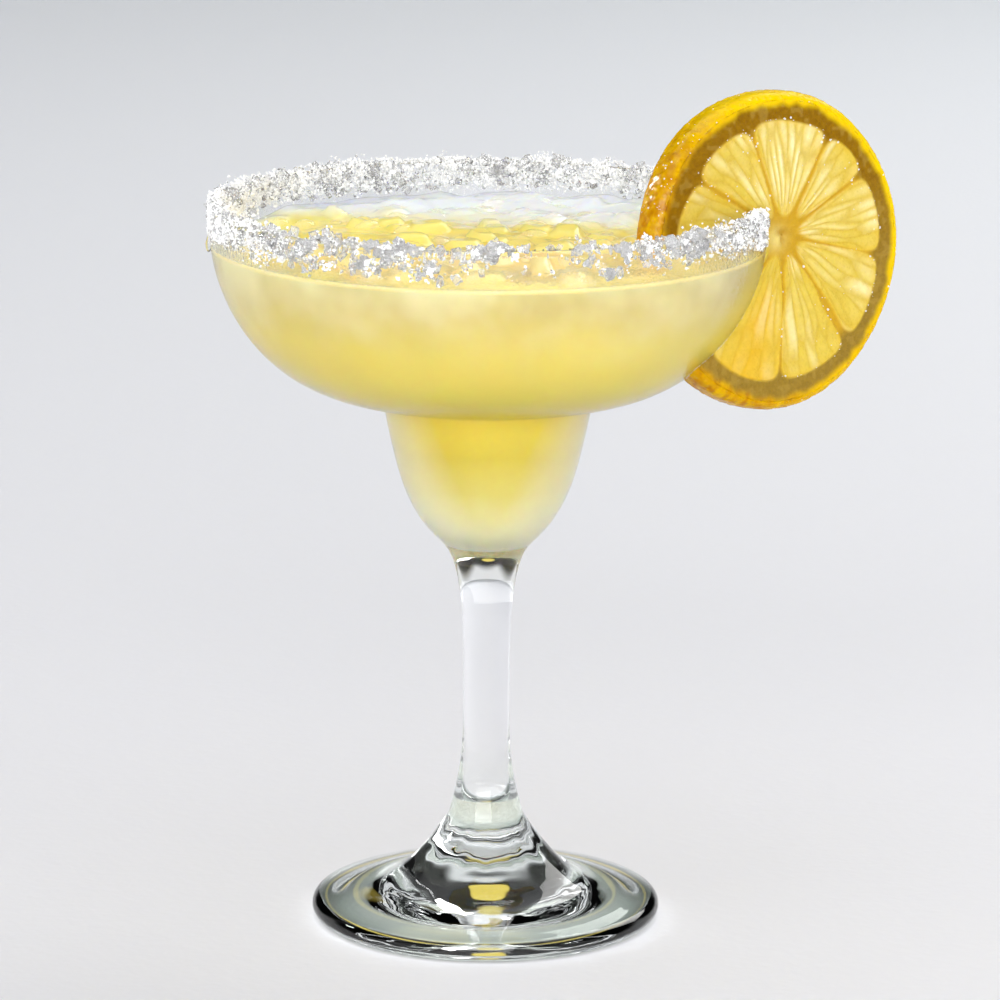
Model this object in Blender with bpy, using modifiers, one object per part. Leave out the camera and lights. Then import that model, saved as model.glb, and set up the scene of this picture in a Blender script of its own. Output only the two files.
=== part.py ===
# A margarita in its glass: a stemmed glass with a wide bowl over a small bulb, the cloudy drink,
# crushed ice on top of it, a crust of salt on the rim and a lemon wheel pushed over the edge.
# Lengths are in millimetres and become metres where a mesh is made.
# The glass stands on z = 0 with its axis on Z, and the viewer looks along +Y.
import math
import random

import bmesh
import bpy
from mathutils import Matrix, Vector, noise

MM = 0.001
CLEAR = 0.35
SIDES = 44

# Glass
RIM_R = 54.0
WALL = 2.4
RIM_Z = 142.8
SHOULDER_Z = 138.0
FLOOR_R = 28.5
FLOOR_Z = 106.0
NECK_R = 20.6
NECK_Z = 104.6
BULB_FOOT_R = 9.0
BULB_FOOT_Z = 76.0
BULB_BOTTOM_Z = 77.2
STEM_R = 4.6
STEM_Z = 42.0
CONE_R = 7.3
CONE_Z = 20.7
FOOT_R = 34.5
FOOT_TOP_R = 24.0
FOOT_TOP_Z = 6.0
FOOT_EDGE_R = 2.1

# Drink and ice
DRINK_TOP_Z = 133.2
ICE_FLAT_Z = 135.2
ICE_HIGH_Z = 138.2
ICE_REACH = 48.3
ICE_LUMPS = 42

# Salt
SALT_SIDE = 0.95
SALT_TOP = 1.45
SALT_OUT_Z = 137.0
SALT_IN_Z = 137.9
SALT_STEPS = 58
SALT_GRAINS = 46

# Lemon wheel: centre of its front face, its turn about Z and its lean away from the viewer
WHEEL_R = 31.15
WHEEL_T = 6.6
WHEEL_AT = (56.1, -5.0, 134.9)
WHEEL_YAW = math.radians(36.6)
WHEEL_LEAN = math.radians(4.3)
CORE_AT = (1.1, 2.9)
MEMBRANES = (-172.0, -133.0, -93.0, -55.0, -15.0, 26.5, 56.5, 109.0, 148.0)
FLESH_R = 25.4
STEPS_PER_SEGMENT = 6


def clear_scene():
    for ob in list(bpy.data.objects):
        bpy.data.objects.remove(ob, do_unlink=True)


def collection(name):
    group = bpy.data.collections.new(name)
    bpy.context.scene.collection.children.link(group)
    return group


def material(name, colour, rough, through=0.0, ior=1.45):
    mat = bpy.data.materials.new(name)
    mat.use_nodes = True
    shader = mat.node_tree.nodes["Principled BSDF"]
    shader.inputs["Base Color"].default_value = (*colour, 1.0)
    shader.inputs["Roughness"].default_value = rough
    shader.inputs["Transmission Weight"].default_value = through
    shader.inputs["IOR"].default_value = ior
    return mat


def add_object(name, mesh, group, mat=None):
    ob = bpy.data.objects.new(name, mesh)
    group.objects.link(ob)
    if mat is not None:
        mesh.materials.append(mat)
    return ob


def bezier(p0, p1, p2, p3, count):
    # Points along the curve without its first one.
    points = []
    for i in range(1, count + 1):
        t = i / count
        s = 1.0 - t
        a, b, c, d = s ** 3, 3 * s * s * t, 3 * s * t * t, t ** 3
        points.append((a * p0[0] + b * p1[0] + c * p2[0] + d * p3[0],
                       a * p0[1] + b * p1[1] + c * p2[1] + d * p3[1]))
    return points


def arc(centre, radius, start, end, count):
    points = []
    for i in range(count + 1):
        angle = math.radians(start + (end - start) * i / count)
        points.append((centre[0] + radius * math.cos(angle), centre[1] + radius * math.sin(angle)))
    return points


def outline_offset(points, distance):
    # Moves an open outline to its left-hand side, seen along its direction.
    moved = []
    for i, point in enumerate(points):
        before = points[max(i - 1, 0)]
        after = points[min(i + 1, len(points) - 1)]
        run = Vector((after[0] - before[0], after[1] - before[1])).normalized()
        moved.append((point[0] - run.y * distance, point[1] + run.x * distance))
    return moved


def turned(name, points, group, mat=None, closed=False):
    # A profile in the XZ plane turned about Z.
    mesh = bpy.data.meshes.new(name)
    edges = [(i, i + 1) for i in range(len(points) - 1)]
    if closed:
        edges.append((len(points) - 1, 0))
    mesh.from_pydata([(x * MM, 0.0, z * MM) for x, z in points], edges, [])
    ob = add_object(name, mesh, group, mat)
    screw = ob.modifiers.new("turn", "SCREW")
    screw.axis = "Z"
    screw.steps = SIDES
    screw.render_steps = SIDES
    screw.use_merge_vertices = True
    screw.merge_threshold = 0.00001
    return ob


def apply_modifiers(ob):
    graph = bpy.context.evaluated_depsgraph_get()
    mesh = bpy.data.meshes.new_from_object(ob.evaluated_get(graph))
    ob.modifiers.clear()
    ob.data = mesh


def cut(ob, cutter, name):
    mod = ob.modifiers.new(name, "BOOLEAN")
    mod.operation = "DIFFERENCE"
    mod.solver = "EXACT"
    mod.object = cutter


def fuse(ob, loose):
    # Joins every object of a collection onto one, then removes the collection's objects.
    mod = ob.modifiers.new("fuse", "BOOLEAN")
    mod.operation = "UNION"
    mod.solver = "MANIFOLD"
    mod.operand_type = "COLLECTION"
    mod.collection = loose
    apply_modifiers(ob)
    for piece in list(loose.objects):
        bpy.data.objects.remove(piece, do_unlink=True)
    bpy.data.collections.remove(loose)


def keep_largest(ob):
    # Drops any loose scrap that a cut has left.
    bm = bmesh.new()
    bm.from_mesh(ob.data)
    bm.verts.ensure_lookup_table()
    seen = set()
    parts = []
    for start in bm.verts:
        if start in seen:
            continue
        part = [start]
        seen.add(start)
        for vert in part:
            for edge in vert.link_edges:
                other = edge.other_vert(vert)
                if other not in seen:
                    seen.add(other)
                    part.append(other)
        parts.append(part)
    parts.sort(key=len)
    scraps = [vert for part in parts[:-1] for vert in part]
    bmesh.ops.delete(bm, geom=scraps, context="VERTS")
    bm.to_mesh(ob.data)
    bm.free()


def hull(name, points, group):
    # A small faceted lump: the convex hull of a few points.
    bm = bmesh.new()
    for point in points:
        bm.verts.new(Vector(point) * MM)
    result = bmesh.ops.convex_hull(bm, input=bm.verts)
    inside = [v for v in result["geom_interior"] if isinstance(v, bmesh.types.BMVert)]
    bmesh.ops.delete(bm, geom=inside, context="VERTS")
    bmesh.ops.recalc_face_normals(bm, faces=bm.faces)
    mesh = bpy.data.meshes.new(name)
    bm.to_mesh(mesh)
    bm.free()
    return add_object(name, mesh, group)


# The inside of the glass from the bottom of the bulb up to the lip.
def inner_outline():
    neck = NECK_R - WALL - 0.4
    points = [(0.0, BULB_BOTTOM_Z)]
    points += bezier((0.0, BULB_BOTTOM_Z), (9.0, BULB_BOTTOM_Z), (13.9, 83.5), (neck, NECK_Z - 1.6), 7)
    points += bezier((neck, NECK_Z - 1.6), (neck + 0.4, 107.0), (neck + 1.6, 107.6),
                     (FLOOR_R - 3.0, FLOOR_Z + 2.1), 3)
    points += bezier((FLOOR_R - 3.0, FLOOR_Z + 2.1), (44.4, 110.6), (RIM_R - WALL, 125.8),
                     (RIM_R - WALL, SHOULDER_Z), 8)
    return points


# The outside of the glass from the shoulder of the bowl down to the underside of the foot.
def bowl_outline():
    return bezier((RIM_R, SHOULDER_Z), (RIM_R, 125.2), (44.9, 109.1), (FLOOR_R, FLOOR_Z), 8)


def lip_outline():
    half = WALL / 2
    return arc((RIM_R - half, RIM_Z - half), half, 180.0, 0.0, 6)


def stem_and_foot_outline():
    points = [(NECK_R, NECK_Z)]
    points += bezier((NECK_R, NECK_Z), (17.5, 89.1), (16.2, 82.9), (BULB_FOOT_R, BULB_FOOT_Z), 6)
    points += bezier((BULB_FOOT_R, BULB_FOOT_Z), (3.8, 71.4), (4.8, 53.6), (STEM_R, STEM_Z), 5)
    points += bezier((STEM_R, STEM_Z), (STEM_R, 36.3), (4.4, 31.2), (CONE_R, CONE_Z), 3)
    points += bezier((CONE_R, CONE_Z), (7.4, 20.2), (15.8, 6.3), (FOOT_TOP_R, FOOT_TOP_Z), 5)
    edge = (FOOT_R - FOOT_EDGE_R, FOOT_EDGE_R)
    points += arc(edge, FOOT_EDGE_R, 78.0, -90.0, 5)
    points.append((0.0, 0.0))
    return points


def make_glass(group):
    points = inner_outline() + lip_outline() + [(RIM_R, SHOULDER_Z)] + bowl_outline()
    points += stem_and_foot_outline()
    return turned("glass", points, group, material("clear_glass", (1.0, 1.0, 1.0), 0.02, 1.0, 1.5))


def bowl_clearance(cutters):
    # The wall of the bowl with a little room round it, which the slit in the wheel follows.
    points = inner_outline()[10:] + lip_outline() + [(RIM_R, SHOULDER_Z)] + bowl_outline()
    return turned("bowl_room", outline_offset(points, CLEAR), cutters, closed=True)


# Everything within the inner outline, between two heights.
def filled(name, low, high, group, mat):
    wall = outline_offset(inner_outline(), CLEAR)
    wall[0] = (0.0, wall[0][1])
    points = []
    for a, b in zip(wall, wall[1:]):
        if not points and b[1] > low:
            t = max(0.0, (low - a[1]) / (b[1] - a[1]))
            points += [(0.0, low)] if low > a[1] else []
            points.append((a[0] + (b[0] - a[0]) * t, a[1] + (b[1] - a[1]) * t))
        if points and b[1] < high:
            points.append(b)
        if points and a[1] < high <= b[1]:
            t = (high - a[1]) / (b[1] - a[1])
            points.append((a[0] + (b[0] - a[0]) * t, high))
    points.append((0.0, high))
    points.reverse()
    return turned(name, points, group, mat)


def make_drink(group, room):
    mat = material("drink_yellow", (0.85, 0.72, 0.28), 0.25)
    drink = filled("drink", 0.0, DRINK_TOP_Z, group, mat)
    cut(drink, room, "room_for_wheel")
    return drink


def make_ice(group, room):
    rng = random.Random(12)
    mat = material("ice_pale", (0.93, 0.88, 0.62), 0.12)
    ice = filled("crushed_ice", DRINK_TOP_Z + 0.3, ICE_FLAT_Z, group, mat)
    apply_modifiers(ice)
    loose = collection("loose_ice")
    for i in range(ICE_LUMPS):
        # A sunflower spread keeps the lumps even.
        radius = ICE_REACH * math.sqrt((i + 0.5) / ICE_LUMPS)
        turn = i * math.radians(137.508) + rng.uniform(-0.15, 0.15)
        size = rng.uniform(3.6, 6.2)
        radius = min(radius, ICE_REACH - size)
        top = rng.uniform(ICE_FLAT_Z + 1.0, ICE_HIGH_Z)
        points = []
        for k in range(11):
            a = rng.uniform(0.0, 2.0 * math.pi)
            h = rng.uniform(0.0, 1.0)
            spread = size * math.sqrt(1.0 - h * h * 0.6) * rng.uniform(0.85, 1.0)
            points.append((radius * math.cos(turn) + spread * math.cos(a),
                           radius * math.sin(turn) + spread * math.sin(a),
                           ICE_FLAT_Z - 1.0 + (top - ICE_FLAT_Z + 1.0) * h))
        hull("lump", points, loose)
    fuse(ice, loose)
    cut(ice, room, "room_for_wheel")
    apply_modifiers(ice)
    keep_largest(ice)
    return ice


def salt_section(turn):
    # The crust hangs over the lip like a saddle, thicker and longer in some places than in others.
    where = Vector((math.cos(turn), math.sin(turn), 0.0))
    lump = noise.noise(where * 9.0)
    drip = noise.noise(where * 5.0 + Vector((0.0, 0.0, 7.0)))
    half = WALL / 2
    mid = (RIM_R - half, RIM_Z - half)
    near = half + CLEAR
    side = SALT_SIDE + 0.35 * lump
    top = SALT_TOP + 0.5 * lump
    out_z = SALT_OUT_Z + 1.3 * drip
    in_z = SALT_IN_Z - 0.7 * drip
    points = [(mid[0] + near, out_z)]
    points += arc(mid, near, 0.0, 180.0, 4)
    points.append((mid[0] - near, in_z))
    points.append((mid[0] - near - side * 0.8, in_z + 0.3))
    points.append((mid[0] - near - side, mid[1] - 1.5))
    for angle in (150.0, 105.0, 60.0, 20.0):
        a = math.radians(angle)
        reach = near + side + (top - side) * math.sin(a)
        points.append((mid[0] + reach * math.cos(a), mid[1] + reach * math.sin(a)))
    points.append((mid[0] + near + side, mid[1] - 2.2))
    points.append((mid[0] + near + side * 0.7, out_z + 0.2))
    return points


def salt_spot(rng):
    # Where a grain sits on the crust: on its outer side, over the top or on its inner side.
    half = WALL / 2
    reach = half + CLEAR + SALT_SIDE
    share = rng.random()
    if share < 0.35:
        return RIM_R - half + reach, rng.uniform(SALT_OUT_Z + 1.0, RIM_Z - half)
    if share < 0.45:
        return RIM_R - half - reach, rng.uniform(SALT_IN_Z + 1.6, RIM_Z - half)
    a = math.radians(rng.uniform(0.0, 180.0))
    reach += (SALT_TOP - SALT_SIDE) * math.sin(a)
    return RIM_R - half + reach * math.cos(a), RIM_Z - half + reach * math.sin(a)


def make_salt(group, room):
    rng = random.Random(5)
    bm = bmesh.new()
    rings = []
    for i in range(SALT_STEPS):
        turn = 2.0 * math.pi * i / SALT_STEPS
        ring = []
        for r, z in salt_section(turn):
            ring.append(bm.verts.new((r * math.cos(turn) * MM, r * math.sin(turn) * MM, z * MM)))
        rings.append(ring)
    for a, b in zip(rings, rings[1:] + rings[:1]):
        for k in range(len(a)):
            m = (k + 1) % len(a)
            bm.faces.new((a[k], a[m], b[m], b[k]))
    bmesh.ops.recalc_face_normals(bm, faces=bm.faces)
    mesh = bpy.data.meshes.new("salt_rim")
    bm.to_mesh(mesh)
    bm.free()
    salt = add_object("salt_rim", mesh, group, material("salt_white", (0.93, 0.93, 0.94), 0.35))
    loose = collection("loose_salt")
    for i in range(SALT_GRAINS):
        turn = 2.0 * math.pi * (i + rng.uniform(0.1, 0.9)) / SALT_GRAINS
        size = rng.uniform(0.9, 1.5)
        r, z = salt_spot(rng)
        points = []
        for k in range(9):
            way = Vector((rng.gauss(0.0, 1.0), rng.gauss(0.0, 1.0), rng.gauss(0.0, 1.0))).normalized()
            points.append((r * math.cos(turn) + way.x * size, r * math.sin(turn) + way.y * size,
                           z + way.z * size))
        hull("grain", points, loose)
    fuse(salt, loose)
    cut(salt, room, "room_for_wheel")
    apply_modifiers(salt)
    keep_largest(salt)
    return salt


def wheel_pose():
    # The wheel is modelled upright, with its front towards -Y.
    return (Matrix.Translation(Vector(WHEEL_AT) * MM) @ Matrix.Rotation(WHEEL_YAW, 4, "Z")
            @ Matrix.Rotation(-WHEEL_LEAN, 4, "X"))


def wheel_radius(angle):
    # Not quite round: a faint waviness runs round the peel.
    return WHEEL_R + 0.18 * math.sin(3.0 * angle + 0.6) + 0.12 * math.sin(5.0 * angle + 2.0)


def wheel_angles():
    # Directions from the core, with finer steps beside each membrane.
    angles = []
    for low, high in zip(MEMBRANES, MEMBRANES[1:] + (MEMBRANES[0] + 360.0,)):
        shares = [0.0] + [0.07 + 0.86 * k / (STEPS_PER_SEGMENT - 2)
                          for k in range(STEPS_PER_SEGMENT - 1)]
        for share in shares:
            angles.append((math.radians(low + (high - low) * share), share))
    return angles


def reach_from_core(angle, radius):
    # Distance from the core to a circle about the wheel's centre.
    cx, cz = CORE_AT
    b = cx * math.cos(angle) + cz * math.sin(angle)
    return -b + math.sqrt(b * b - (cx * cx + cz * cz - radius * radius))


def wheel_vertex(bm, angle, reach, depth):
    return bm.verts.new(((CORE_AT[0] + reach * math.cos(angle)) * MM, depth * MM,
                         (CORE_AT[1] + reach * math.sin(angle)) * MM))


def make_wheel(group, wall_room):
    bm = bmesh.new()
    rings = []
    angles = wheel_angles()

    def flesh_ring(share_of_flesh, lift, depth):
        # A segment's outer end is rounded, and its flesh bulges or sinks between the membranes.
        verts = []
        for angle, share in angles:
            bulge = math.sin(math.pi * share) ** 0.5 if 0.0 < share < 1.0 else 0.0
            reach = reach_from_core(angle, FLESH_R) * (0.93 + 0.07 * bulge) * share_of_flesh
            verts.append(wheel_vertex(bm, angle, reach, depth + lift * bulge))
        rings.append(verts)

    def rim_ring(inset, depth):
        verts = []
        for angle, share in angles:
            reach = reach_from_core(angle, wheel_radius(angle) - inset)
            verts.append(wheel_vertex(bm, angle, reach, depth))
        rings.append(verts)

    flesh_ring(0.07, 0.0, 0.1)
    flesh_ring(0.3, 0.35, 0.1)
    flesh_ring(0.7, 0.35, 0.1)
    flesh_ring(0.97, 0.35, 0.1)
    flesh_ring(1.02, 0.0, 0.0)
    rim_ring(1.3, 0.0)
    rim_ring(0.3, 0.7)
    rim_ring(0.0, 2.4)
    rim_ring(0.0, WHEEL_T - 1.6)
    rim_ring(1.0, WHEEL_T)
    flesh_ring(1.02, 0.0, WHEEL_T)
    flesh_ring(0.97, -0.35, WHEEL_T - 0.1)
    flesh_ring(0.3, -0.35, WHEEL_T - 0.1)
    flesh_ring(0.07, 0.0, WHEEL_T - 0.1)
    for a, b in zip(rings, rings[1:]):
        for k in range(len(a)):
            m = (k + 1) % len(a)
            bm.faces.new((a[k], a[m], b[m], b[k]))
    for verts, depth in ((rings[0], 0.25), (rings[-1], WHEEL_T - 0.25)):
        centre = bm.verts.new((CORE_AT[0] * MM, depth * MM, CORE_AT[1] * MM))
        for k in range(len(verts)):
            bm.faces.new((verts[k], verts[(k + 1) % len(verts)], centre))
    bmesh.ops.recalc_face_normals(bm, faces=bm.faces)
    mesh = bpy.data.meshes.new("lemon_wheel")
    bm.to_mesh(mesh)
    bm.free()
    wheel = add_object("lemon_wheel", mesh, group, material("lemon_yellow", (0.87, 0.66, 0.10), 0.3))
    wheel.matrix_world = wheel_pose()
    cut(wheel, wall_room, "slit_over_wall")
    return wheel


def wheel_clearance(cutters):
    # A plain disc a little larger than the wheel.
    bm = bmesh.new()
    depth = WHEEL_T + 2.0 * CLEAR
    bmesh.ops.create_cone(bm, cap_ends=True, cap_tris=False, segments=64,
                          radius1=(WHEEL_R + 1.3) * MM, radius2=(WHEEL_R + 1.3) * MM, depth=depth * MM)
    stand = Matrix.Translation(Vector((0.0, WHEEL_T / 2 * MM, 0.0))) @ Matrix.Rotation(math.pi / 2, 4, "X")
    bmesh.ops.transform(bm, matrix=stand, verts=bm.verts)
    bmesh.ops.recalc_face_normals(bm, faces=bm.faces)
    mesh = bpy.data.meshes.new("wheel_room")
    bm.to_mesh(mesh)
    bm.free()
    disc = add_object("wheel_room", mesh, cutters)
    disc.matrix_world = wheel_pose()
    return disc


def main():
    clear_scene()
    group = collection("margarita_cocktail")
    cutters = collection("cutters")
    disc = wheel_clearance(cutters)
    wall_room = bowl_clearance(cutters)
    make_glass(group)
    make_drink(group, disc)
    make_ice(group, disc)
    make_salt(group, disc)
    make_wheel(group, wall_room)
    for tool in cutters.objects:
        tool.hide_render = True
        tool.display_type = "WIRE"


main()
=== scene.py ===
import math

import bmesh
import bpy
import numpy as np
from mathutils import Matrix, Vector


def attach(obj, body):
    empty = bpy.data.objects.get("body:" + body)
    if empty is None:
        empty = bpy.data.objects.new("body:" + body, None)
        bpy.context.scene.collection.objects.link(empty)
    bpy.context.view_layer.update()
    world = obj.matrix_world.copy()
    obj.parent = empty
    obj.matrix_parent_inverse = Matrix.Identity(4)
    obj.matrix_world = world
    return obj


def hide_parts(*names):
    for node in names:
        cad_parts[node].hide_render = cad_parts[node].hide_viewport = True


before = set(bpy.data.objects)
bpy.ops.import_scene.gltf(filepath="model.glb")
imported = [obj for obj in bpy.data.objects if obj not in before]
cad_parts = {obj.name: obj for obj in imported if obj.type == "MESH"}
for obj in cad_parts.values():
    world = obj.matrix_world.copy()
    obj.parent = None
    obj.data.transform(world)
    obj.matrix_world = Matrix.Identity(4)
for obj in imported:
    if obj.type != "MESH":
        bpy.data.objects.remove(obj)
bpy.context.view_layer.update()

MM = 0.001
scene = bpy.context.scene

# Sizes shared with the CAD model, in millimetres
RIM_R, WALL, RIM_Z, SHOULDER_Z = 54.0, 2.4, 142.8, 138.0
FLOOR_R, FLOOR_Z = 28.5, 106.0
NECK_R, NECK_Z = 20.6, 104.6
BULB_FOOT_R, BULB_FOOT_Z, BULB_BOTTOM_Z = 9.0, 76.0, 77.2
STEM_R, STEM_Z, CONE_R, CONE_Z = 4.6, 42.0, 7.3, 20.7
FOOT_R, FOOT_TOP_R, FOOT_TOP_Z, FOOT_EDGE_R = 34.5, 24.0, 6.0, 2.1
WHEEL_R, WHEEL_T = 31.15, 6.6
WHEEL_AT = (56.1, -5.0, 134.9)
WHEEL_YAW, WHEEL_LEAN = math.radians(36.6), math.radians(4.3)
CORE = (1.1, 2.9)
MEMBRANES = (-172.0, -133.0, -93.0, -55.0, -15.0, 26.5, 56.5, 109.0, 148.0)
FLESH_R = 25.4
LEVEL_Z = 135.2
WHEEL_POSE = (Matrix.Translation(Vector(WHEEL_AT) * MM) @ Matrix.Rotation(WHEEL_YAW, 4, "Z")
              @ Matrix.Rotation(-WHEEL_LEAN, 4, "X"))
SIDES = 192
# The drink and the wheel reach this far into the glass wall, so that no air gap shows.
DRINK_OVERLAP, WHEEL_OVERLAP = 0.12, 0.06
DISH_R, DISH_RIM_Z, DISH_Z = 24.0, 1.8, 1.9
# Grains and ice stay below these, inside the size of the CAD model.
SALT_REACH, SALT_TOP, ICE_TOP = 54.7, 146.6, 138.3

CAMERA_AIM = Vector((0.0025, 0.0, 0.0841))
CAMERA_PITCH, CAMERA_ROLL = math.radians(12.775), math.radians(0.312)
CAMERA_DISTANCE, CAMERA_LENS, CAMERA_SENSOR = 1.0126, 186.04, 36.0


# Camera
def place_camera():
    look = Vector((0.0, math.cos(CAMERA_PITCH), -math.sin(CAMERA_PITCH)))
    right = Vector((1.0, 0.0, 0.0))
    up = right.cross(look)
    x_axis = math.cos(CAMERA_ROLL) * right + math.sin(CAMERA_ROLL) * up
    y_axis = -math.sin(CAMERA_ROLL) * right + math.cos(CAMERA_ROLL) * up
    data = bpy.data.cameras.new("camera")
    data.sensor_width = CAMERA_SENSOR
    data.lens = CAMERA_LENS
    data.clip_end = 50.0
    ob = bpy.data.objects.new("camera", data)
    scene.collection.objects.link(ob)
    frame_axes = Matrix((x_axis, y_axis, -look)).transposed().to_4x4()
    ob.matrix_world = Matrix.Translation(CAMERA_AIM - look * CAMERA_DISTANCE) @ frame_axes
    scene.camera = ob


# Materials
class Tree:
    """A few short calls for building a material's nodes."""

    def __init__(self, name):
        self.mat = bpy.data.materials.new(name)
        self.mat.use_nodes = True
        self.nodes = self.mat.node_tree.nodes
        self.shader = self.nodes["Principled BSDF"]

    def set(self, **values):
        for name, value in values.items():
            self.shader.inputs[name.replace("_", " ")].default_value = value

    def link(self, out, into):
        self.mat.node_tree.links.new(out, into)

    def node(self, kind, **props):
        made = self.nodes.new(kind)
        for name, value in props.items():
            setattr(made, name, value)
        return made

    def place(self):
        return self.node("ShaderNodeTexCoord").outputs["Object"]

    def noise(self, vector, scale, detail=3.0, rough=0.5):
        made = self.node("ShaderNodeTexNoise")
        made.inputs["Scale"].default_value = scale
        made.inputs["Detail"].default_value = detail
        made.inputs["Roughness"].default_value = rough
        self.link(vector, made.inputs["Vector"])
        return made.outputs["Fac"]

    def cells(self, vector, scale):
        made = self.node("ShaderNodeTexVoronoi")
        made.inputs["Scale"].default_value = scale
        self.link(vector, made.inputs["Vector"])
        return made.outputs["Distance"]

    def ramp(self, value, stops):
        made = self.node("ShaderNodeValToRGB")
        ramp = made.color_ramp
        while len(ramp.elements) < len(stops):
            ramp.elements.new(0.5)
        for element, (at, colour) in zip(ramp.elements, stops):
            element.position = at
            element.color = (*colour, 1.0)
        self.link(value, made.inputs["Fac"])
        return made.outputs["Color"]

    def span(self, value, low, high, to_low=0.0, to_high=1.0):
        made = self.node("ShaderNodeMapRange")
        for name, number in zip(("From Min", "From Max", "To Min", "To Max"), (low, high, to_low, to_high)):
            made.inputs[name].default_value = number
        self.link(value, made.inputs["Value"])
        return made.outputs["Result"]

    def math(self, kind, a, b):
        made = self.node("ShaderNodeMath", operation=kind)
        for value, into in ((a, made.inputs[0]), (b, made.inputs[1])):
            if isinstance(value, (int, float)):
                into.default_value = value
            else:
                self.link(value, into)
        return made.outputs["Value"]

    def mix(self, share, a, b, blend="MIX"):
        made = self.node("ShaderNodeMix", data_type="RGBA", blend_type=blend)
        for value, into in ((share, made.inputs[0]), (a, made.inputs[6]), (b, made.inputs[7])):
            if isinstance(value, (int, float)):
                into.default_value = value
            elif isinstance(value, tuple):
                into.default_value = (*value, 1.0)
            else:
                self.link(value, into)
        return made.outputs[2]

    def axes(self):
        split = self.node("ShaderNodeSeparateXYZ")
        self.link(self.place(), split.inputs["Vector"])
        return split.outputs

    def attribute(self, name):
        return self.node("ShaderNodeAttribute", attribute_name=name)

    def bump(self, value, strength, distance):
        made = self.node("ShaderNodeBump")
        made.inputs["Strength"].default_value = strength
        made.inputs["Distance"].default_value = distance
        self.link(value, made.inputs["Height"])
        self.link(made.outputs["Normal"], self.shader.inputs["Normal"])

    def feed(self, value, name):
        self.link(value, self.shader.inputs[name])


def linear(r, g, b):
    # A colour given in display values from 0 to 255, as the linear values that materials take.
    shares = (c / 255.0 for c in (r, g, b))
    return tuple(c / 12.92 if c <= 0.04045 else ((c + 0.055) / 1.055) ** 2.4 for c in shares)


# Meshes
def make_piece(name, verts, faces, mat, smooth=True):
    mesh = bpy.data.meshes.new(name)
    verts = np.asarray(verts, dtype=np.float32)
    mesh.vertices.add(len(verts))
    mesh.vertices.foreach_set("co", (verts * MM).ravel())
    if isinstance(faces, list):
        sizes = np.array([len(face) for face in faces], dtype=np.int32)
        corners = np.concatenate([np.asarray(face) for face in faces])
    else:
        sizes = np.full(len(faces), faces.shape[1], dtype=np.int32)
        corners = faces.ravel()
    mesh.loops.add(int(sizes.sum()))
    mesh.loops.foreach_set("vertex_index", corners.astype(np.int32))
    mesh.polygons.add(len(sizes))
    starts = np.concatenate(([0], np.cumsum(sizes)[:-1])).astype(np.int32)
    mesh.polygons.foreach_set("loop_start", starts)
    mesh.polygons.foreach_set("use_smooth", np.full(len(sizes), smooth))
    mesh.update(calc_edges=True)
    mesh.materials.append(mat)
    ob = bpy.data.objects.new(name, mesh)
    scene.collection.objects.link(ob)
    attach(ob, "root")
    return ob


def bezier(p0, p1, p2, p3, count):
    t = np.linspace(0.0, 1.0, count + 1)[1:, None]
    s = 1.0 - t
    curve = s ** 3 * np.array(p0) + 3 * s * s * t * np.array(p1) + 3 * s * t * t * np.array(p2)
    return [tuple(p) for p in curve + t ** 3 * np.array(p3)]


def arc(centre, radius, start, end, count):
    a = np.radians(np.linspace(start, end, count + 1))
    return [(centre[0] + radius * math.cos(k), centre[1] + radius * math.sin(k)) for k in a]


def inner_outline(fine=3):
    neck = NECK_R - WALL - 0.4
    points = [(0.0, BULB_BOTTOM_Z)]
    points += bezier((0.0, BULB_BOTTOM_Z), (9.0, BULB_BOTTOM_Z), (13.9, 83.5), (neck, NECK_Z - 1.6), 8 * fine)
    points += bezier((neck, NECK_Z - 1.6), (neck + 0.4, 107.0), (neck + 1.6, 107.6),
                     (FLOOR_R - 3.0, FLOOR_Z + 2.1), 4 * fine)
    points += bezier((FLOOR_R - 3.0, FLOOR_Z + 2.1), (44.4, 110.6), (RIM_R - WALL, 125.8),
                     (RIM_R - WALL, SHOULDER_Z), 9 * fine)
    return points


def outer_outline(fine=3):
    half = WALL / 2
    points = arc((RIM_R - half, RIM_Z - half), half, 180.0, 0.0, 14)
    points.append((RIM_R, SHOULDER_Z))
    points += bezier((RIM_R, SHOULDER_Z), (RIM_R, 125.2), (44.9, 109.1), (FLOOR_R, FLOOR_Z), 10 * fine)
    points += bezier((FLOOR_R, FLOOR_Z), (26.0, 105.6), (21.6, 105.7), (NECK_R, NECK_Z), 5)
    points += bezier((NECK_R, NECK_Z), (17.5, 89.1), (16.2, 82.9), (BULB_FOOT_R, BULB_FOOT_Z), 8 * fine)
    points += bezier((BULB_FOOT_R, BULB_FOOT_Z), (3.8, 71.4), (4.8, 53.6), (STEM_R, STEM_Z), 7 * fine)
    points += bezier((STEM_R, STEM_Z), (STEM_R, 36.3), (4.4, 31.2), (CONE_R, CONE_Z), 5 * fine)
    points += bezier((CONE_R, CONE_Z), (7.4, 20.2), (15.8, 6.3), (FOOT_TOP_R, FOOT_TOP_Z), 7 * fine)
    points += arc((FOOT_R - FOOT_EDGE_R, FOOT_EDGE_R), FOOT_EDGE_R, 78.0, -90.0, 12)
    # The underside is a shallow dish that stands on its outer ring.
    points += bezier((FOOT_R - FOOT_EDGE_R, 0.0), (29.5, 0.0), (28.0, 1.6), (DISH_R, DISH_RIM_Z), 8)
    points += bezier((DISH_R, DISH_RIM_Z), (16.0, DISH_Z), (9.0, DISH_Z), (0.0, DISH_Z), 16)
    return points


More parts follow.
